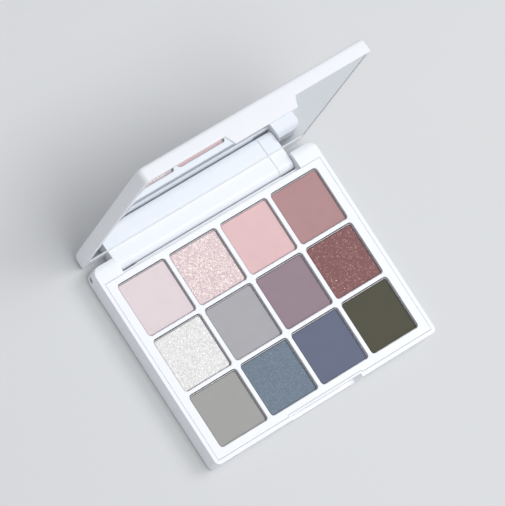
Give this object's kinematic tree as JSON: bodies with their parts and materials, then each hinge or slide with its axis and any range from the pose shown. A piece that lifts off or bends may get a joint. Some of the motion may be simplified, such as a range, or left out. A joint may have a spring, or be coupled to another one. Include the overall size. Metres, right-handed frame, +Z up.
{
  "type": "eyeshadow palette",
  "caption": "Flat rectangular eyeshadow palette with a mirrored lid on a rear pin hinge and a grid of square pressed-shadow pans.",
  "frame": {"origin": "middle of the base's underside, on the surface it rests on", "axes": "+X to the user's right along the hinge, -Y towards the user, +Z up"},
  "size_m": [0.0928, 0.0882, 0.0744],
  "materials": {
    "case_plastic": "satin",
    "tray_plastic": "satin",
    "pan_metal": "satin",
    "pin_steel": "brushed",
    "mirror": "polished",
    "tape": "matt foam",
    "powder_pale_lilac": "matt",
    "powder_pink_glitter": "glitter",
    "powder_baby_pink": "matt",
    "powder_dusty_rose": "matt",
    "powder_silver_glitter": "glitter",
    "powder_cool_grey": "matt",
    "powder_mauve": "matt",
    "powder_wine_glitter": "glitter",
    "powder_stone_grey": "matt",
    "powder_teal_shimmer": "shimmer",
    "powder_slate_violet": "matt",
    "powder_olive_brown": "matt"
  },
  "bodies": {
    "base": {"base_shell": "case_plastic", "pan_tray": "tray_plastic", "pan_pale_lilac": "pan_metal", "pan_pink_glitter": "pan_metal", "pan_baby_pink": "pan_metal", "pan_dusty_rose": "pan_metal", "pan_silver_glitter": "pan_metal", "pan_cool_grey": "pan_metal", "pan_mauve": "pan_metal", "pan_wine_glitter": "pan_metal", "pan_stone_grey": "pan_metal", "pan_teal_shimmer": "pan_metal", "pan_slate_violet": "pan_metal", "pan_olive_brown": "pan_metal", "shadow_pale_lilac": "powder_pale_lilac", "shadow_pink_glitter": "powder_pink_glitter", "shadow_baby_pink": "powder_baby_pink", "shadow_dusty_rose": "powder_dusty_rose", "shadow_silver_glitter": "powder_silver_glitter", "shadow_cool_grey": "powder_cool_grey", "shadow_mauve": "powder_mauve", "shadow_wine_glitter": "powder_wine_glitter", "shadow_stone_grey": "powder_stone_grey", "shadow_teal_shimmer": "powder_teal_shimmer", "shadow_slate_violet": "powder_slate_violet", "shadow_olive_brown": "powder_olive_brown", "hinge_pin_left": "pin_steel", "hinge_pin_right": "pin_steel"},
    "lid": {"lid_shell": "case_plastic", "mirror_glass": "mirror", "mirror_tape": "tape"}
  },
  "joints": [
    {"name": "lid_hinge", "type": "hinge", "parent": "base", "child": "lid", "pos_m": [0, 0.0348, 0.00275], "axis": [1, 0, 0], "range_deg": [0, 95.2]}
  ]
}
